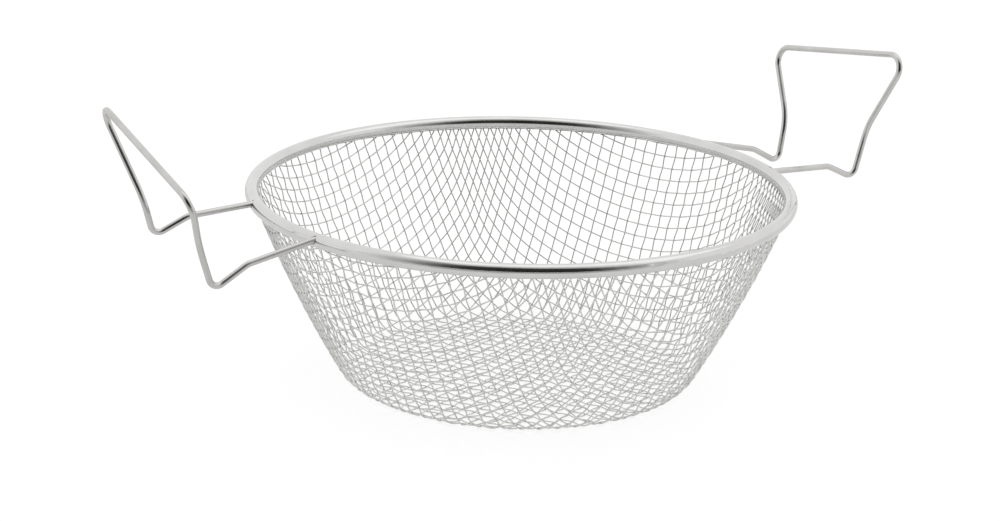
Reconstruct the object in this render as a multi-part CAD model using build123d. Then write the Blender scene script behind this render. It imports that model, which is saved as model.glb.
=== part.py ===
from build123d import *
import math
import os

# Round frying basket: a pressed bowl of woven wire, a rolled tubular rim that grips its
# edge, and two bent wire handles that enter punched holes in the rim.
# Millimetres. +Z is up, the bowl stands on z = 0 about the origin, and the handles point
# along +X and -X.

# Rim, a steel strip rolled into a tube with a slit underneath
rim_outer_diameter = 280.0
rim_tube = 7.0
rim_wall = 0.6
slit_clearance = 0.2

# Bowl of woven wire
bowl_depth = 98.0
base_corner_radius = 90.0
wall_bulge = 2.2
pressed_radius = 13.0
wire_diameter = 0.7
ground_thickness = 0.7
edge_grip = 2.0

# Coarse weave of the bowl: ridges along the wires, and one gap in each mesh, which leaves
# a ledge beside each ridge
weave_pitch = 28.7
weave_turn = 27.5
ridge_width = 3.2
ledge_width = 0.8
plain_band = 4.0
cutter_inside = 6.0
cutter_outside = 9.0

# Handle wire and its seat in the rim
handle_wire = 3.2
leg_spacing = 67.0
leg_rise = 1.2
hole_clearance = 0.25
leg_end_clearance = 0.4

# Bends of one handle arm, as distance out from the bowl's axis, distance from the
# handle's middle line and height above the rim's centre line
knee = (170.5, 32.0, -3.0)
dip = (188.5, 33.5, -12.5)
waist = (194.0, 34.0, 11.0)
corner = (204.5, 57.5, 48.5)

# Both handles are twisted the same way round, so on each one the arm on one side stands
# higher than the other. Each arm leaves the shape above by these steps out, to the side and
# up, at the knee, the dip, the waist and the corner
left_back_bends = ((-0.5, 0.0, 3.0), (-1.0, 0.5, 4.0), (-1.5, 0.0, 0.0), (0.0, 2.0, 7.5))
left_front_bends = ((-1.0, 1.5, -3.0), (-0.5, 1.0, -3.5), (0.5, 0.5, -5.0), (3.5, 0.0, -14.5))
right_back_bends = ((0.0, -1.0, -3.5), (0.0, -1.5, -4.0), (-0.5, -0.5, -2.5), (-2.5, 0.0, -5.5))
right_front_bends = ((2.0, 0.0, 2.0), (0.0, 0.0, 3.5), (1.5, 0.0, 7.0), (-1.5, -2.0, 12.5))
knee_radius = 10.0
dip_radius = 4.5
waist_radius = 30.0
corner_radius = 7.5

# Worked out from the values above
tube_radius = rim_tube / 2
cavity_radius = tube_radius - rim_wall
rim_radius = rim_outer_diameter / 2 - tube_radius
mesh_thickness = 2 * wire_diameter
wire_radius = handle_wire / 2

# The bowl's outer wall is an arc that starts at the rim's centre line and would meet the
# floor at base_corner_radius; the pressed corner rounds it into the flat base
chord_run = rim_radius + mesh_thickness / 2 - base_corner_radius
chord = math.hypot(chord_run, bowl_depth)
wall_radius = (chord ** 2 / 4 + wall_bulge ** 2) / (2 * wall_bulge)
centre_offset = wall_radius - wall_bulge
wall_centre_x = base_corner_radius + chord_run / 2 - centre_offset * bowl_depth / chord
wall_centre_z = bowl_depth / 2 + centre_offset * chord_run / chord
press_centre_z = pressed_radius
press_centre_x = wall_centre_x + math.sqrt(
    (wall_radius - pressed_radius) ** 2 - (press_centre_z - wall_centre_z) ** 2
)
press_end_angle = math.atan2(press_centre_z - wall_centre_z, press_centre_x - wall_centre_x)
edge_height = bowl_depth - cavity_radius + edge_grip

ridge_gap = weave_pitch - ridge_width

# The wall's middle surface, on which the weave lies
middle_press = pressed_radius - mesh_thickness / 2
middle_wall = wall_radius - mesh_thickness / 2
press_run = middle_press * (press_end_angle + math.pi / 2)


def wall_x(inset, height):
    """Distance of the wall from the axis, on the surface that lies inset inside the outer one."""
    return wall_centre_x + math.sqrt((wall_radius - inset) ** 2 - (height - wall_centre_z) ** 2)


def bowl_solid(inset, top, sweep=360):
    """Everything inside the bowl's surface at that inset, up to the height top."""
    press = pressed_radius - inset
    along = (math.cos(press_end_angle), math.sin(press_end_angle))
    halfway = (press_end_angle - math.pi / 2) / 2
    axis_bottom = (0, inset)
    flat_end = (press_centre_x, inset)
    press_middle = (press_centre_x + press * math.cos(halfway), press_centre_z + press * math.sin(halfway))
    press_end = (press_centre_x + press * along[0], press_centre_z + press * along[1])
    wall_middle_z = (press_end[1] + top) / 2
    wall_middle = (wall_x(inset, wall_middle_z), wall_middle_z)
    wall_end = (wall_x(inset, top), top)
    outline = Wire([
        Edge.make_line(axis_bottom, flat_end),
        Edge.make_three_point_arc(flat_end, press_middle, press_end),
        Edge.make_three_point_arc(press_end, wall_middle, wall_end),
        Edge.make_line(wall_end, (0, top)),
        Edge.make_line((0, top), axis_bottom),
    ])
    return revolve(Plane.XZ * Face(outline), Axis.Z, sweep)


def bowl_shell(outer_inset, inner_inset, top, sweep=360):
    """The wall between two insets, open at the top."""
    return bowl_solid(outer_inset, top, sweep) - bowl_solid(inner_inset, top + mesh_thickness)


def surface_point(run, turn):
    """Point of the wall's middle surface, run millimetres out along it from its centre."""
    if run <= press_centre_x:
        x, z = run, mesh_thickness / 2
    elif run <= press_centre_x + press_run:
        angle = (run - press_centre_x) / middle_press - math.pi / 2
        x = press_centre_x + middle_press * math.cos(angle)
        z = press_centre_z + middle_press * math.sin(angle)
    else:
        angle = press_end_angle + (run - press_centre_x - press_run) / middle_wall
        x = wall_centre_x + middle_wall * math.cos(angle)
        z = wall_centre_z + middle_wall * math.sin(angle)
    return Vector(x * math.cos(turn), x * math.sin(turn), z)


def next_crossing(beside, below, guess):
    """Where two wires of equal mesh length from two neighbouring crossings meet on the wall."""
    run, turn = guess
    step = 1e-4
    for _ in range(30):
        point = surface_point(run, turn)
        miss = [(point - beside).length - weave_pitch, (point - below).length - weave_pitch]
        ahead = surface_point(run + step, turn)
        round_ = surface_point(run, turn + step)
        slope_run = [((ahead - q).length - (point - q).length) / step for q in (beside, below)]
        slope_turn = [((round_ - q).length - (point - q).length) / step for q in (beside, below)]
        size = slope_run[0] * slope_turn[1] - slope_run[1] * slope_turn[0]
        if abs(size) < 1e-9:
            return None
        run -= (miss[0] * slope_turn[1] - miss[1] * slope_turn[0]) / size
        turn -= (slope_run[0] * miss[1] - slope_run[1] * miss[0]) / size
        if max(abs(miss[0]), abs(miss[1])) < 1e-6:
            return run, turn
    return None


def straight_wire(turn, last_run):
    """Crossings along the wire that runs straight up the wall from the centre."""
    places = [(0.0, turn)]
    run = 0.0
    while run < last_run:
        here = surface_point(run, turn)
        low, high = run, run + 1.5 * weave_pitch
        for _ in range(50):
            middle = (low + high) / 2
            if (surface_point(middle, turn) - here).length < weave_pitch:
                low = middle
            else:
                high = middle
        run = high
        places.append((run, turn))
    return places


def weave_quadrant(last_run):
    """Crossings of the draped square mesh in the quarter between its two straight wires."""
    crossings = {}
    for i, place in enumerate(straight_wire(0.0, last_run)):
        crossings[i, 0] = place
    for j, place in enumerate(straight_wire(math.pi / 2, last_run)):
        crossings[0, j] = place
    count = max(i for i, j in crossings) + 1
    for i in range(1, count):
        for j in range(1, count):
            corners = [crossings.get(key) for key in ((i - 1, j), (i, j - 1), (i - 1, j - 1))]
            if None in corners:
                continue
            beside, below, behind = corners
            guess = (
                beside[0] + below[0] - behind[0] if i + j > 2 else weave_pitch * math.sqrt(2),
                (beside[1] + below[1]) / 2,
            )
            place = next_crossing(surface_point(*beside), surface_point(*below), guess)
            if place and place[0] < last_run + 2 * weave_pitch:
                crossings[i, j] = place
    return crossings


def quarter_meshes(last_run):
    """The four corners of every whole mesh of one quarter that lies below the rim's plain band."""
    found = []
    crossings = weave_quadrant(last_run)
    for i, j in crossings:
        keys = ((i, j), (i + 1, j), (i + 1, j + 1), (i, j + 1))
        if all(key in crossings and crossings[key][0] <= last_run for key in keys):
            found.append([crossings[key] for key in keys])
    return found


def mesh_cutter(corners, width):
    """Prism through the wall under one mesh, whose corners on the wall are drawn in to the width."""
    flat_x = [run * math.cos(turn) for run, turn in corners]
    flat_y = [run * math.sin(turn) for run, turn in corners]
    middle_x, middle_y = sum(flat_x) / 4, sum(flat_y) / 4
    drawn_in = width / weave_pitch
    points = []
    for x, y in zip(flat_x, flat_y):
        x = middle_x + (x - middle_x) * drawn_in
        y = middle_y + (y - middle_y) * drawn_in
        points.append(surface_point(math.hypot(x, y), math.atan2(y, x)))
    middle = sum(points, Vector(0, 0, 0)) * 0.25
    normal = (points[2] - points[0]).cross(points[3] - points[1]).normalized()
    start = middle - normal * cutter_inside
    section = [point - normal * (point - start).dot(normal) for point in points]
    face = Face(Wire.make_polygon(section, close=True))
    return Solid.extrude(face, normal * (cutter_inside + cutter_outside))


def make_mesh_bowl():
    """The pressed bowl: a thin wall with gaps, and the wires as ridges standing out of it.

    The draped weave repeats in each quarter turn, so one quarter is made and copied."""
    top_angle = math.asin((bowl_depth - plain_band - wall_centre_z) / middle_wall)
    last_run = press_centre_x + press_run + middle_wall * (top_angle - press_end_angle)
    cells = quarter_meshes(last_run)
    gaps = [mesh_cutter(corners, ridge_gap - 2 * ledge_width) for corners in cells]
    ridge_inset = mesh_thickness - ground_thickness
    ground = bowl_shell(ridge_inset, mesh_thickness, edge_height, 90) - gaps
    ridges = bowl_shell(0, ridge_inset, edge_height, 90) - gaps
    ridges -= [mesh_cutter(corners, ridge_gap) for corners in cells]
    quarter = ground + ridges
    bowl = quarter + [quarter.rotate(Axis.Z, turn) for turn in (90, 180, 270)]
    print("gaps in the bowl:", 4 * len(cells))
    return bowl.rotate(Axis.Z, weave_turn)


def arm_points(side_x, side_y, bends):
    """Corner points of one handle arm, from its end inside the rim to its top corner."""
    leg_side = leg_spacing / 2
    leg_height = bowl_depth + leg_rise
    mesh_radius = wall_x(0, edge_height) + leg_end_clearance
    leg_end = math.sqrt(mesh_radius ** 2 - (leg_side - wire_radius) ** 2)
    points = [Vector(side_x * leg_end, side_y * leg_side, leg_height)]
    for (out, side, up), (more_out, more_side, more_up) in zip((knee, dip, waist, corner), bends):
        points.append(Vector(
            side_x * (out + more_out),
            side_y * (side + more_side),
            bowl_depth + up + more_up,
        ))
    return points


def wire_between(start, end, radius):
    """A straight round bar from one point to another."""
    along = end - start
    return extrude(Plane(origin=start, z_dir=along) * Circle(radius), along.length)


def make_handle(side_x, front_bends, back_bends):
    """One handle: a single wire bent up one arm, across the grip and down the other arm."""
    front = arm_points(side_x, -1, front_bends)
    back = arm_points(side_x, 1, back_bends)
    points = front + back[::-1]
    radii = [knee_radius, dip_radius, waist_radius, corner_radius]
    path = FilletPolyline(*points, radius=radii + radii[::-1])
    section = Plane(origin=path @ 0, z_dir=path % 0) * Circle(wire_radius)
    return sweep(section, path)


def make_rim(arms):
    """The rolled rim: a tube with a slit for the mesh and a punched hole for each leg."""
    section = Plane.XZ * Pos(rim_radius, bowl_depth) * (Circle(tube_radius) - Circle(cavity_radius))
    rim = revolve(section, Axis.Z)
    rim -= bowl_shell(-slit_clearance, mesh_thickness + slit_clearance, bowl_depth)
    for leg_end, leg_knee in arms:
        hole_end = leg_end - (leg_knee - leg_end).normalized() * hole_clearance
        rim -= wire_between(hole_end, leg_knee, wire_radius + hole_clearance)
    return rim


if __name__ == "__main__":
    os.makedirs("parts", exist_ok=True)
    handles = {
        "handle_left": (-1, left_front_bends, left_back_bends),
        "handle_right": (1, right_front_bends, right_back_bends),
    }
    legs = []
    for name, (side_x, front_bends, back_bends) in handles.items():
        export_step(make_handle(side_x, front_bends, back_bends), f"parts/{name}.step")
        for side_y, bends in ((-1, front_bends), (1, back_bends)):
            legs.append(arm_points(side_x, side_y, bends)[:2])
    export_step(make_rim(legs), "parts/rim.step")
    export_step(make_mesh_bowl(), "parts/mesh_bowl.step")
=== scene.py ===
import math

import bpy
from mathutils import Matrix, Vector


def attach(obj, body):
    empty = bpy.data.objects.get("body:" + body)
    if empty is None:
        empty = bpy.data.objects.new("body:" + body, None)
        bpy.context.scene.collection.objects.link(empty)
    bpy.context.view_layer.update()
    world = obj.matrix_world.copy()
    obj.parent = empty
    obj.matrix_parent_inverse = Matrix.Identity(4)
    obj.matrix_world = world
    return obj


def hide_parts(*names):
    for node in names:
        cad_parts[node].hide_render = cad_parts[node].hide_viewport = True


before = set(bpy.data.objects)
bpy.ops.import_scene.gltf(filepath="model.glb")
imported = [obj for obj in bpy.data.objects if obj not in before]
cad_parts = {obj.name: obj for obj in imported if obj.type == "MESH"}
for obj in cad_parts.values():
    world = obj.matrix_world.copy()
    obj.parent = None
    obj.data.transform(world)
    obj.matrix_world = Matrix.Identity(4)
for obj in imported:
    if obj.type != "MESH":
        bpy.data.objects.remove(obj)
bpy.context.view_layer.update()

# Sizes of the woven bowl in metres. Its wall has the same curve as the CAD solid's
rim_line_radius = 0.1365
rim_line_height = 0.098
base_corner_radius = 0.090
wall_bulge = 0.0022
pressed_radius = 0.013
mesh_wire = 0.0007
mesh_pitch = 0.0066
mesh_edge_height = 0.0971

# Through the middle of the base runs one straight line of each set of wires, in these
# directions in degrees
warp_direction = 26.0
weft_direction = 112.7

# The weave is worked out in this many steps along each mesh. Counted from the middle, these
# steps carry the first wire of each set
steps_per_mesh = 4
first_warp_step = 1
first_weft_step = 2

# How closely the draping is worked out: turns of each search, the step that tests a slope
# and the misses that count as none
halving_turns = 40
crossing_turns = 30
slope_step = 1e-7
small_miss = 1e-9
flat_slope = 1e-12

# A wire shorter than this many points is left out, and a wire's round has this many cuts
# in each quarter
fewest_points = 4
wire_quarter_cuts = 2

# Finishes: colours and roughness from the dark to the light parts of each pattern, sizes of
# the patterns as noise scales, and bumps as strength and height in metres
pattern_dark = 0.3
pattern_light = 0.7

rim_colours = ((0.69, 0.687, 0.676), (0.76, 0.757, 0.745))
rim_roughness = (0.10, 0.17)
rim_cloud_scale = 55.0
rim_line_scale = 2600.0
rim_line_bump = (0.04, 0.00004)
rim_ripple_scale = 380.0
rim_ripple_bump = (0.3, 0.00006)

handle_colours = ((0.58, 0.573, 0.558), (0.67, 0.662, 0.645))
handle_roughness = (0.13, 0.22)
handle_cloud_scale = 90.0
handle_grain_scale = 1500.0
handle_grain_bump = (0.10, 0.00003)

mesh_colours = ((0.70, 0.70, 0.685), (0.84, 0.84, 0.822))
mesh_roughness = (0.38, 0.50)
mesh_cloud_scale = 140.0
mesh_grain_scale = 2200.0
mesh_grain_bump = (0.15, 0.00003)

cloud_detail = 3.0
fine_detail = 2.0

# Studio: how strong the room and the floor are as light, to the camera and in the metal.
# What the metal mirrors is set apart from what lights: each soft dark patch is a painted
# dark reflection, seen only in the metal. It has a middle, how fast it fades along x, y and
# z, and the levels of light at distances from its middle
room_light = 0.88
room_seen = 1.0
room_mirrored = 0.92
room_painted_reflection_middle = (-0.489, -0.847, 0.208)
room_painted_reflection_stretch = (0.7, 0.7, 0.27)
room_painted_reflection_levels = ((0.0, 0.01), (0.34, 0.03), (0.46, 0.20), (0.62, 0.55), (0.8, room_mirrored))

floor_size = 40.0
floor_height = -0.0002
floor_colour = (0.40, 0.40, 0.40)
floor_roughness = 0.9
floor_lift_plain = 0.0
floor_lift_seen = 0.66
# Only in the metal does the floor glow this much more: a painted reflection, with a painted dark
# reflection patch on the camera side where this glow falls to none
floor_lift_mirrored = 0.42
floor_painted_reflection_middle = (-0.68, -1.18, 0.0)
floor_painted_reflection_stretch = (0.74, 0.74, 0.0)
floor_painted_reflection_levels = ((0.0, 0.0), (0.6, 0.0), (0.84, floor_lift_mirrored))

lamp_size = 2.2
lamp_watts = 4.0
lamp_place = (0.3, -0.2, 1.8)
lamp_target = (0.0, 0.0, 0.05)

# Camera: its place in metres, which way its right side and its back point, and its lens in
# millimetres
camera_place = (-0.6426, -1.0300, 0.4436)
camera_right = (0.8563, -0.5160, 0.0230)
camera_back = (-0.4980, -0.8130, 0.3015)
camera_lens = 89.24
camera_film = 36.0
camera_nearest = 0.05
camera_farthest = 100.0


# The curve of the wall, worked out as for the solid

middle_inset = mesh_wire
chord_run = rim_line_radius + mesh_wire - base_corner_radius
chord = math.hypot(chord_run, rim_line_height)
wall_radius = (chord ** 2 / 4 + wall_bulge ** 2) / (2 * wall_bulge)
centre_offset = wall_radius - wall_bulge
wall_centre_x = base_corner_radius + chord_run / 2 - centre_offset * rim_line_height / chord
wall_centre_z = rim_line_height / 2 + centre_offset * chord_run / chord
press_centre_x = wall_centre_x + math.sqrt(
    (wall_radius - pressed_radius) ** 2 - (pressed_radius - wall_centre_z) ** 2
)
press_end_angle = math.atan2(pressed_radius - wall_centre_z, press_centre_x - wall_centre_x)
middle_press = pressed_radius - middle_inset
middle_wall = wall_radius - middle_inset
press_run = middle_press * (press_end_angle + math.pi / 2)
edge_angle = math.asin((mesh_edge_height - wall_centre_z) / middle_wall)
edge_run = press_centre_x + press_run + middle_wall * (edge_angle - press_end_angle)


def wall_place(run, turn):
    """Point in the middle of the bowl's wall, run metres out along it from its centre."""
    if run <= press_centre_x:
        x, z = run, middle_inset
    elif run <= press_centre_x + press_run:
        angle = (run - press_centre_x) / middle_press - math.pi / 2
        x = press_centre_x + middle_press * math.cos(angle)
        z = pressed_radius + middle_press * math.sin(angle)
    else:
        angle = press_end_angle + (run - press_centre_x - press_run) / middle_wall
        x = wall_centre_x + middle_wall * math.cos(angle)
        z = wall_centre_z + middle_wall * math.sin(angle)
    return x * math.cos(turn), x * math.sin(turn), z


def wall_normal(run, turn):
    """Direction straight out of the wall at that place."""
    if run <= press_centre_x:
        angle = -math.pi / 2
    elif run <= press_centre_x + press_run:
        angle = (run - press_centre_x) / middle_press - math.pi / 2
    else:
        angle = press_end_angle + (run - press_centre_x - press_run) / middle_wall
    level = math.cos(angle)
    return Vector((level * math.cos(turn), level * math.sin(turn), math.sin(angle)))


# The weave: a square mesh draped over the wall, in which every mesh keeps its side length

def straight_wire(turn, step):
    """Places one step apart on the wire that runs straight up the wall from the centre."""
    places = [(0.0, turn)]
    run = 0.0
    while run < edge_run:
        here = wall_place(run, turn)
        low, high = run, run + 1.5 * step  # the next place lies between these two
        for _ in range(halving_turns):
            middle = (low + high) / 2
            if math.dist(wall_place(middle, turn), here) < step:
                low = middle
            else:
                high = middle
        run = high
        places.append((run, turn))
    return places


def next_crossing(beside, below, guess, step):
    """Place on the wall that is one step from each of two points, found from a near guess."""
    run, turn = guess
    for _ in range(crossing_turns):
        point = wall_place(run, turn)
        miss_a = math.dist(point, beside) - step
        miss_b = math.dist(point, below) - step
        if abs(miss_a) + abs(miss_b) < small_miss:
            return run, turn
        higher = wall_place(run + slope_step, turn)
        sideways = wall_place(run, turn + slope_step)
        run_a = (math.dist(higher, beside) - step - miss_a) / slope_step
        run_b = (math.dist(higher, below) - step - miss_b) / slope_step
        turn_a = (math.dist(sideways, beside) - step - miss_a) / slope_step
        turn_b = (math.dist(sideways, below) - step - miss_b) / slope_step
        slope = run_a * turn_b - run_b * turn_a
        if abs(slope) < flat_slope:
            return None
        run -= (miss_a * turn_b - miss_b * turn_a) / slope
        turn -= (run_a * miss_b - run_b * miss_a) / slope
    return None


def weave_quarter(corner, step):
    """Places of the draped mesh between two straight wires that meet at that corner angle."""
    places = {}
    for i, place in enumerate(straight_wire(0.0, step)):
        places[i, 0] = place
    for j, place in enumerate(straight_wire(corner, step)):
        places[0, j] = place
    count = max(i for i, j in places) + 1
    for i in range(1, count):
        for j in range(1, count):
            beside = places.get((i - 1, j))
            below = places.get((i, j - 1))
            behind = places.get((i - 1, j - 1))
            if beside is None or below is None or behind is None:
                continue
            if i == 1 and j == 1:
                guess = (2 * step * math.cos(corner / 2), corner / 2)
            else:
                guess = (beside[0] + below[0] - behind[0], (beside[1] + below[1]) / 2)
            place = next_crossing(wall_place(*beside), wall_place(*below), guess, step)
            if place and place[0] < edge_run + 2 * step:
                places[i, j] = place
    return places


def draped_weave():
    """All places of the weave as {(warp step, weft step): (run, turn)}."""
    step = mesh_pitch / steps_per_mesh
    warp = math.radians(warp_direction)
    weft = math.radians(weft_direction)
    weave = {}
    for (i, j), (run, turn) in weave_quarter(weft - warp, step).items():
        weave[i, j] = (run, turn + warp)
        weave[-i, -j] = (run, turn + warp + math.pi)
    for (i, j), (run, turn) in weave_quarter(math.pi - weft + warp, step).items():
        weave[-j, i] = (run, turn + weft)
        weave[j, -i] = (run, turn + weft + math.pi)
    return weave


def wire_path(weave, crosswise, line, first_crossing, side):
    """Points of one woven wire, which goes over and under the wires that cross it.

    It is cut off where it reaches the edge of the mesh inside the rim.
    """
    last = max(max(key) for key in weave)
    points = []
    before = None
    for step in range(-last, last + 1):
        place = weave.get((step, line) if crosswise else (line, step))
        if place is None:
            before = None
            continue
        wave = math.cos(math.pi * (step - first_crossing) / steps_per_mesh)
        lift = side * wave * mesh_wire / 2
        point = Vector(wall_place(*place)) + wall_normal(*place) * lift
        inside = place[0] <= edge_run
        if before is not None and inside != before[2]:
            share = (edge_run - before[1]) / (place[0] - before[1])
            points.append(before[0].lerp(point, share))
        if inside:
            points.append(point)
        before = (point, place[0], inside)
    return points


def make_wires(name, paths):
    """One set of wires as round tubes with closed ends."""
    curve = bpy.data.curves.new(name, "CURVE")
    curve.dimensions = "3D"
    curve.bevel_depth = mesh_wire / 2
    curve.bevel_resolution = wire_quarter_cuts
    curve.use_fill_caps = True
    for path in paths:
        spline = curve.splines.new("POLY")
        spline.points.add(len(path) - 1)
        for point, place in zip(spline.points, path):
            point.co = (place.x, place.y, place.z, 1.0)
    piece = bpy.data.objects.new(name, curve)
    bpy.context.collection.objects.link(piece)
    bpy.ops.object.select_all(action="DESELECT")
    piece.select_set(True)
    bpy.context.view_layer.objects.active = piece
    bpy.ops.object.convert(target="MESH")
    piece = bpy.context.view_layer.objects.active
    bpy.ops.object.shade_smooth()
    bpy.ops.object.select_all(action="DESELECT")
    return piece


def weave_wires(name, weave, crosswise, first_line, first_crossing):
    """Every wire of one direction of the weave."""
    last = max(max(key) for key in weave)
    side = -1 if crosswise else 1
    paths = []
    for line in range(first_line - last, last + 1):
        if (line - first_line) % steps_per_mesh:
            continue
        turned = (line - first_line) // steps_per_mesh % 2
        path = wire_path(weave, crosswise, line, first_crossing, -side if turned else side)
        if len(path) >= fewest_points:
            paths.append(path)
    return make_wires(name, paths)


# Finishes

def new_material(name):
    """An empty node material with its shader."""
    material = bpy.data.materials.new(name)
    material.use_nodes = True
    return material, material.node_tree.nodes, material.node_tree.links


def add_noise(nodes, links, vector, scale, detail):
    """A cloudy 0 to 1 pattern."""
    noise = nodes.new("ShaderNodeTexNoise")
    noise.inputs["Scale"].default_value = scale
    noise.inputs["Detail"].default_value = detail
    links.new(vector, noise.inputs["Vector"])
    return noise.outputs["Fac"]


def add_range(nodes, links, value, low, high):
    """Spreads a pattern between two values."""
    spread = nodes.new("ShaderNodeMapRange")
    spread.inputs["From Min"].default_value = pattern_dark
    spread.inputs["From Max"].default_value = pattern_light
    spread.inputs["To Min"].default_value = low
    spread.inputs["To Max"].default_value = high
    links.new(value, spread.inputs["Value"])
    return spread.outputs["Result"]


def add_colours(nodes, links, value, dark, light):
    """Spreads a pattern between two colours."""
    ramp = nodes.new("ShaderNodeValToRGB")
    ramp.color_ramp.elements[0].position = pattern_dark
    ramp.color_ramp.elements[0].color = (*dark, 1.0)
    ramp.color_ramp.elements[1].position = pattern_light
    ramp.color_ramp.elements[1].color = (*light, 1.0)
    links.new(value, ramp.inputs["Fac"])
    return ramp.outputs["Color"]


def add_bump(nodes, links, height, strength, distance, onto):
    """Raises a pattern on a shader or under another bump."""
    bump = nodes.new("ShaderNodeBump")
    bump.inputs["Strength"].default_value = strength
    bump.inputs["Distance"].default_value = distance
    links.new(height, bump.inputs["Height"])
    links.new(bump.outputs["Normal"], onto.inputs["Normal"])
    return bump


def bare_metal(name, colours, roughness, cloud_scale):
    """Metal whose colour and roughness vary together in soft clouds."""
    material, nodes, links = new_material(name)
    shader = nodes["Principled BSDF"]
    shader.inputs["Metallic"].default_value = 1.0
    place = nodes.new("ShaderNodeTexCoord").outputs["Object"]
    cloud = add_noise(nodes, links, place, cloud_scale, cloud_detail)
    links.new(add_colours(nodes, links, cloud, *colours), shader.inputs["Base Color"])
    links.new(add_range(nodes, links, cloud, *roughness), shader.inputs["Roughness"])
    return material, nodes, links, shader, place


def rolled_steel():
    """Bright strip for the rim, with faint lines along the ring and ripples from the rolling."""
    material, nodes, links, shader, place = bare_metal(
        "rolled_bright_steel", rim_colours, rim_roughness, rim_cloud_scale,
    )
    apart = nodes.new("ShaderNodeSeparateXYZ")
    links.new(place, apart.inputs["Vector"])
    level = nodes.new("ShaderNodeCombineXYZ")
    links.new(apart.outputs["X"], level.inputs["X"])
    links.new(apart.outputs["Y"], level.inputs["Y"])
    reach = nodes.new("ShaderNodeVectorMath")
    reach.operation = "LENGTH"
    links.new(level.outputs["Vector"], reach.inputs[0])
    section = nodes.new("ShaderNodeCombineXYZ")
    links.new(reach.outputs["Value"], section.inputs["X"])
    links.new(apart.outputs["Z"], section.inputs["Z"])
    lines = add_noise(nodes, links, section.outputs["Vector"], rim_line_scale, fine_detail)
    ripples = add_noise(nodes, links, place, rim_ripple_scale, fine_detail)
    rippled = add_bump(nodes, links, ripples, *rim_ripple_bump, shader)
    add_bump(nodes, links, lines, *rim_line_bump, rippled)
    return material


def drawn_wire():
    """Bright drawn wire for the handles."""
    material, nodes, links, shader, place = bare_metal(
        "bright_drawn_wire", handle_colours, handle_roughness, handle_cloud_scale,
    )
    grain = add_noise(nodes, links, place, handle_grain_scale, fine_detail)
    add_bump(nodes, links, grain, *handle_grain_bump, shader)
    return material


def tinned_wire():
    """Dull tinned wire of the mesh."""
    material, nodes, links, shader, place = bare_metal(
        "tinned_mesh_wire", mesh_colours, mesh_roughness, mesh_cloud_scale,
    )
    grain = add_noise(nodes, links, place, mesh_grain_scale, fine_detail)
    add_bump(nodes, links, grain, *mesh_grain_bump, shader)
    return material


def give(piece, material):
    """Puts one material on a piece or on a CAD node."""
    if not piece.material_slots:
        piece.data.materials.append(material)
    for slot in piece.material_slots:
        slot.material = material


# Studio

def ray_strength(nodes, links, rays, plain, seen, mirrored):
    """Strength of a light as it lights things, as the camera sees it and in mirrors.

    Each level is a number or the output of a node.
    """
    strength = plain
    for ray, value in (("Is Camera Ray", seen), ("Is Glossy Ray", mirrored)):
        part = nodes.new("ShaderNodeMapRange")
        links.new(rays.outputs[ray], part.inputs["Value"])
        for end, level in (("To Min", strength), ("To Max", value)):
            if isinstance(level, float):
                part.inputs[end].default_value = level
            else:
                links.new(level, part.inputs[end])
        strength = part.outputs["Result"]
    return strength


def painted_dark_reflection(nodes, links, place, middle, stretch, levels):
    """Level of light that rises with the distance from the middle of a soft dark patch: a
    painted dark reflection, used only for what the metal mirrors.
    """
    away = nodes.new("ShaderNodeVectorMath")
    away.operation = "SUBTRACT"
    links.new(place, away.inputs[0])
    away.inputs[1].default_value = middle
    stretched = nodes.new("ShaderNodeVectorMath")
    stretched.operation = "MULTIPLY"
    links.new(away.outputs["Vector"], stretched.inputs[0])
    stretched.inputs[1].default_value = stretch
    reach = nodes.new("ShaderNodeVectorMath")
    reach.operation = "LENGTH"
    links.new(stretched.outputs["Vector"], reach.inputs[0])
    ramp = nodes.new("ShaderNodeValToRGB")
    for _ in levels[2:]:
        ramp.color_ramp.elements.new(1.0)
    for stop, (distance, level) in zip(ramp.color_ramp.elements, levels):
        stop.position = distance
        stop.color = (level, level, level, 1.0)
    links.new(reach.outputs["Value"], ramp.inputs["Fac"])
    return ramp.outputs["Color"]


def plain_floor():
    """Pale floor that keeps the shadow and is white to the camera; in mirrors it shows a painted
    reflection glow, with a painted dark reflection patch on the camera side.
    """
    bpy.ops.object.select_all(action="DESELECT")
    bpy.ops.mesh.primitive_plane_add(size=floor_size, location=(0.0, 0.0, floor_height))
    floor = bpy.context.view_layer.objects.active
    floor.name = "floor"
    bpy.ops.object.select_all(action="DESELECT")
    material, nodes, links = new_material("pale_floor")
    shader = nodes["Principled BSDF"]
    shader.inputs["Base Color"].default_value = (*floor_colour, 1.0)
    shader.inputs["Roughness"].default_value = floor_roughness
    shader.inputs["Specular IOR Level"].default_value = 0.0
    rays = nodes.new("ShaderNodeLightPath")
    place = nodes.new("ShaderNodeTexCoord").outputs["Object"]
    mirrored = painted_dark_reflection(
        nodes, links, place, floor_painted_reflection_middle, floor_painted_reflection_stretch, floor_painted_reflection_levels,
    )
    lift = ray_strength(nodes, links, rays, floor_lift_plain, floor_lift_seen, mirrored)
    shader.inputs["Emission Color"].default_value = (1.0, 1.0, 1.0, 1.0)
    links.new(lift, shader.inputs["Emission Strength"])
    give(floor, material)


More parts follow.
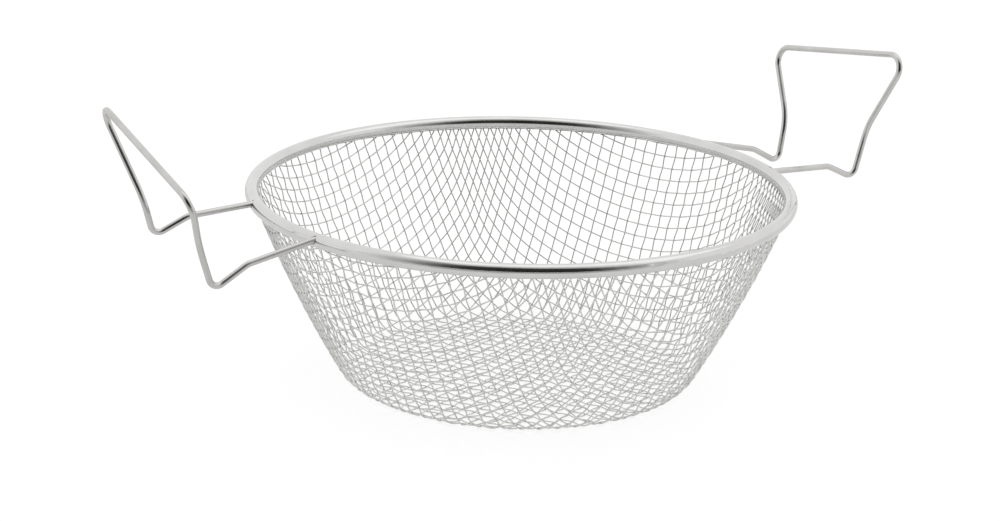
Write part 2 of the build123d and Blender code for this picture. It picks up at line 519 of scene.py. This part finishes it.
def white_room():
    """World that lights evenly and is white to the camera; in the metal it shows a painted dark
    reflection patch on the camera side.
    """
    world = bpy.data.worlds.new("white_room")
    bpy.context.scene.world = world
    world.use_nodes = True
    nodes, links = world.node_tree.nodes, world.node_tree.links
    background = nodes["Background"]
    background.inputs["Color"].default_value = (1.0, 1.0, 1.0, 1.0)
    rays = nodes.new("ShaderNodeLightPath")
    direction = nodes.new("ShaderNodeTexCoord").outputs["Generated"]
    mirrored = painted_dark_reflection(
        nodes, links, direction, room_painted_reflection_middle, room_painted_reflection_stretch, room_painted_reflection_levels,
    )
    strength = ray_strength(nodes, links, rays, room_light, room_seen, mirrored)
    links.new(strength, background.inputs["Strength"])


def lamp_above():
    """One large soft lamp over the basket."""
    lamp = bpy.data.lights.new("lamp_above", "AREA")
    lamp.shape = "SQUARE"
    lamp.size = lamp_size
    lamp.energy = lamp_watts
    holder = bpy.data.objects.new("lamp_above", lamp)
    bpy.context.collection.objects.link(holder)
    holder.location = lamp_place
    holder.rotation_mode = "QUATERNION"
    beam = Vector(lamp_target) - Vector(lamp_place)
    holder.rotation_quaternion = beam.to_track_quat("-Z", "Y")


def photo_camera():
    """Camera that stands where the basket was seen from."""
    right = Vector(camera_right).normalized()
    back = Vector(camera_back).normalized()
    up = back.cross(right).normalized()
    right = up.cross(back)
    camera = bpy.data.cameras.new("camera")
    camera.lens = camera_lens
    camera.sensor_width = camera_film
    camera.clip_start = camera_nearest
    camera.clip_end = camera_farthest
    holder = bpy.data.objects.new("camera", camera)
    bpy.context.collection.objects.link(holder)
    turned = Matrix((right, up, back)).transposed().to_4x4()
    holder.matrix_world = Matrix.Translation(Vector(camera_place)) @ turned
    bpy.context.scene.camera = holder


# The basket: camera first, then the woven bowl, the finishes of the rim and the handles, and
# the studio

photo_camera()

weave = draped_weave()
warp = weave_wires("mesh_warp", weave, False, first_warp_step, first_weft_step)
weft = weave_wires("mesh_weft", weave, True, first_weft_step, first_warp_step)

wire_finish = tinned_wire()
for piece in (warp, weft):
    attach(piece, "root")
    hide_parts("mesh_bowl")
    give(piece, wire_finish)

give(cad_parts["rim"], rolled_steel())
handle_finish = drawn_wire()
give(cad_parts["handle_left"], handle_finish)
give(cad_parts["handle_right"], handle_finish)

bpy.context.scene.view_settings.view_transform = "Standard"
plain_floor()
white_room()
lamp_above()
